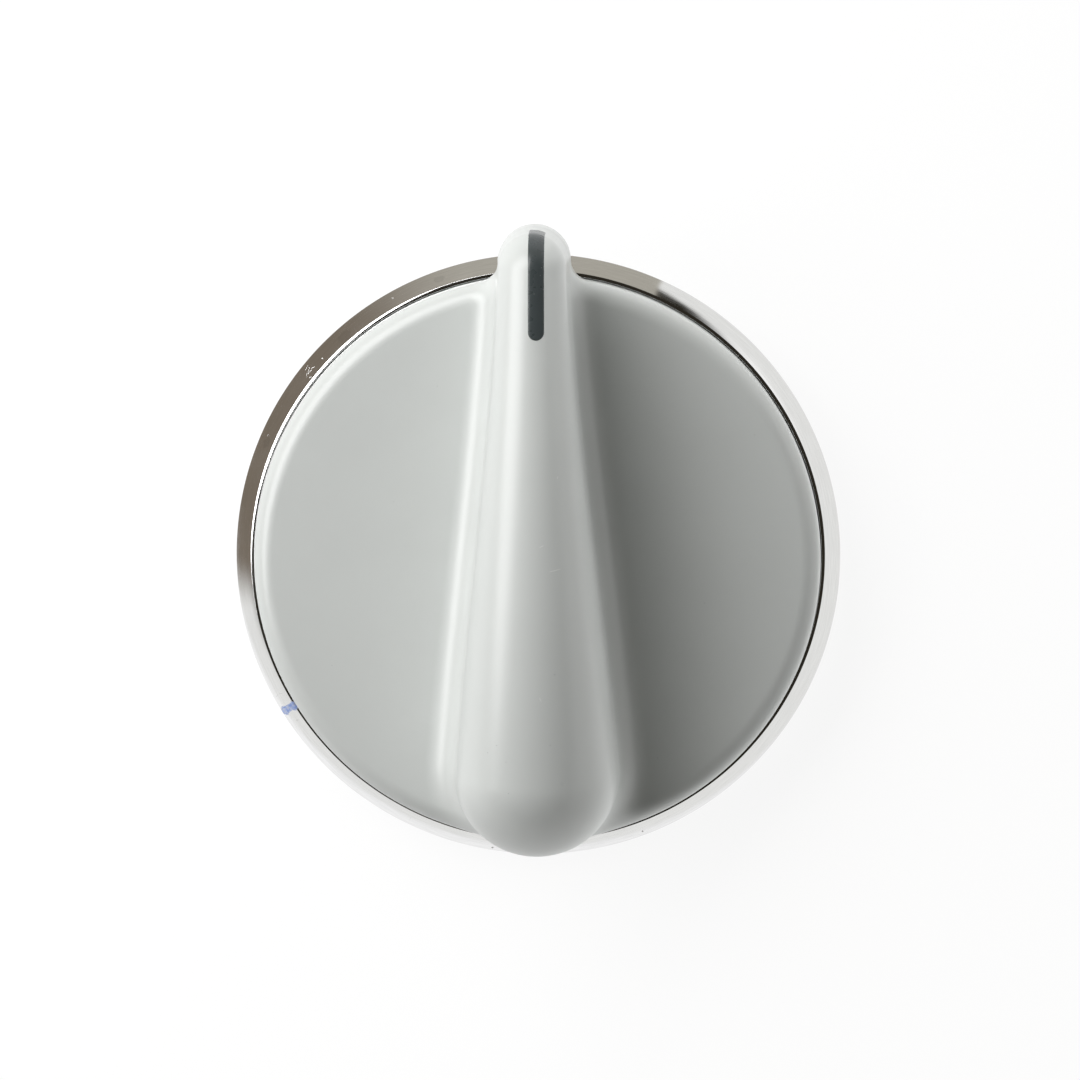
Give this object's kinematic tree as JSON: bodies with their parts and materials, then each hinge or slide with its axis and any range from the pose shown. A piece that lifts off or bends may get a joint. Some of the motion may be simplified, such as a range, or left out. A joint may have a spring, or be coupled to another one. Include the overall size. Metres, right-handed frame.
{
  "type": "washing machine knob",
  "caption": "Round selector knob for a washing machine: a pale glossy face with a raised teardrop grip, a dark pointer line and a bright bevelled ring, pushed on to a D-shaped shaft.",
  "frame": {"origin": "centre of the hub's round mouth on the plane of the rear rim", "axes": "+Z out of the face along the shaft's axis, +Y towards the pointer end, +X to the right of the grip seen from the front"},
  "size_m": [0.06, 0.0631, 0.025],
  "materials": {
    "grey_moulding": "glossy moulded ABS, pale grey",
    "bright_ring": "chrome plating on moulded ABS",
    "spring_steel": "blue-grey tempered spring steel",
    "pointer_ink": "satin dark grey"
  },
  "bodies": {
    "root": {"knob_shell": "grey_moulding", "trim_ring": "bright_ring", "shaft_clip": "spring_steel", "pointer_line": "pointer_ink"}
  },
  "joints": []
}
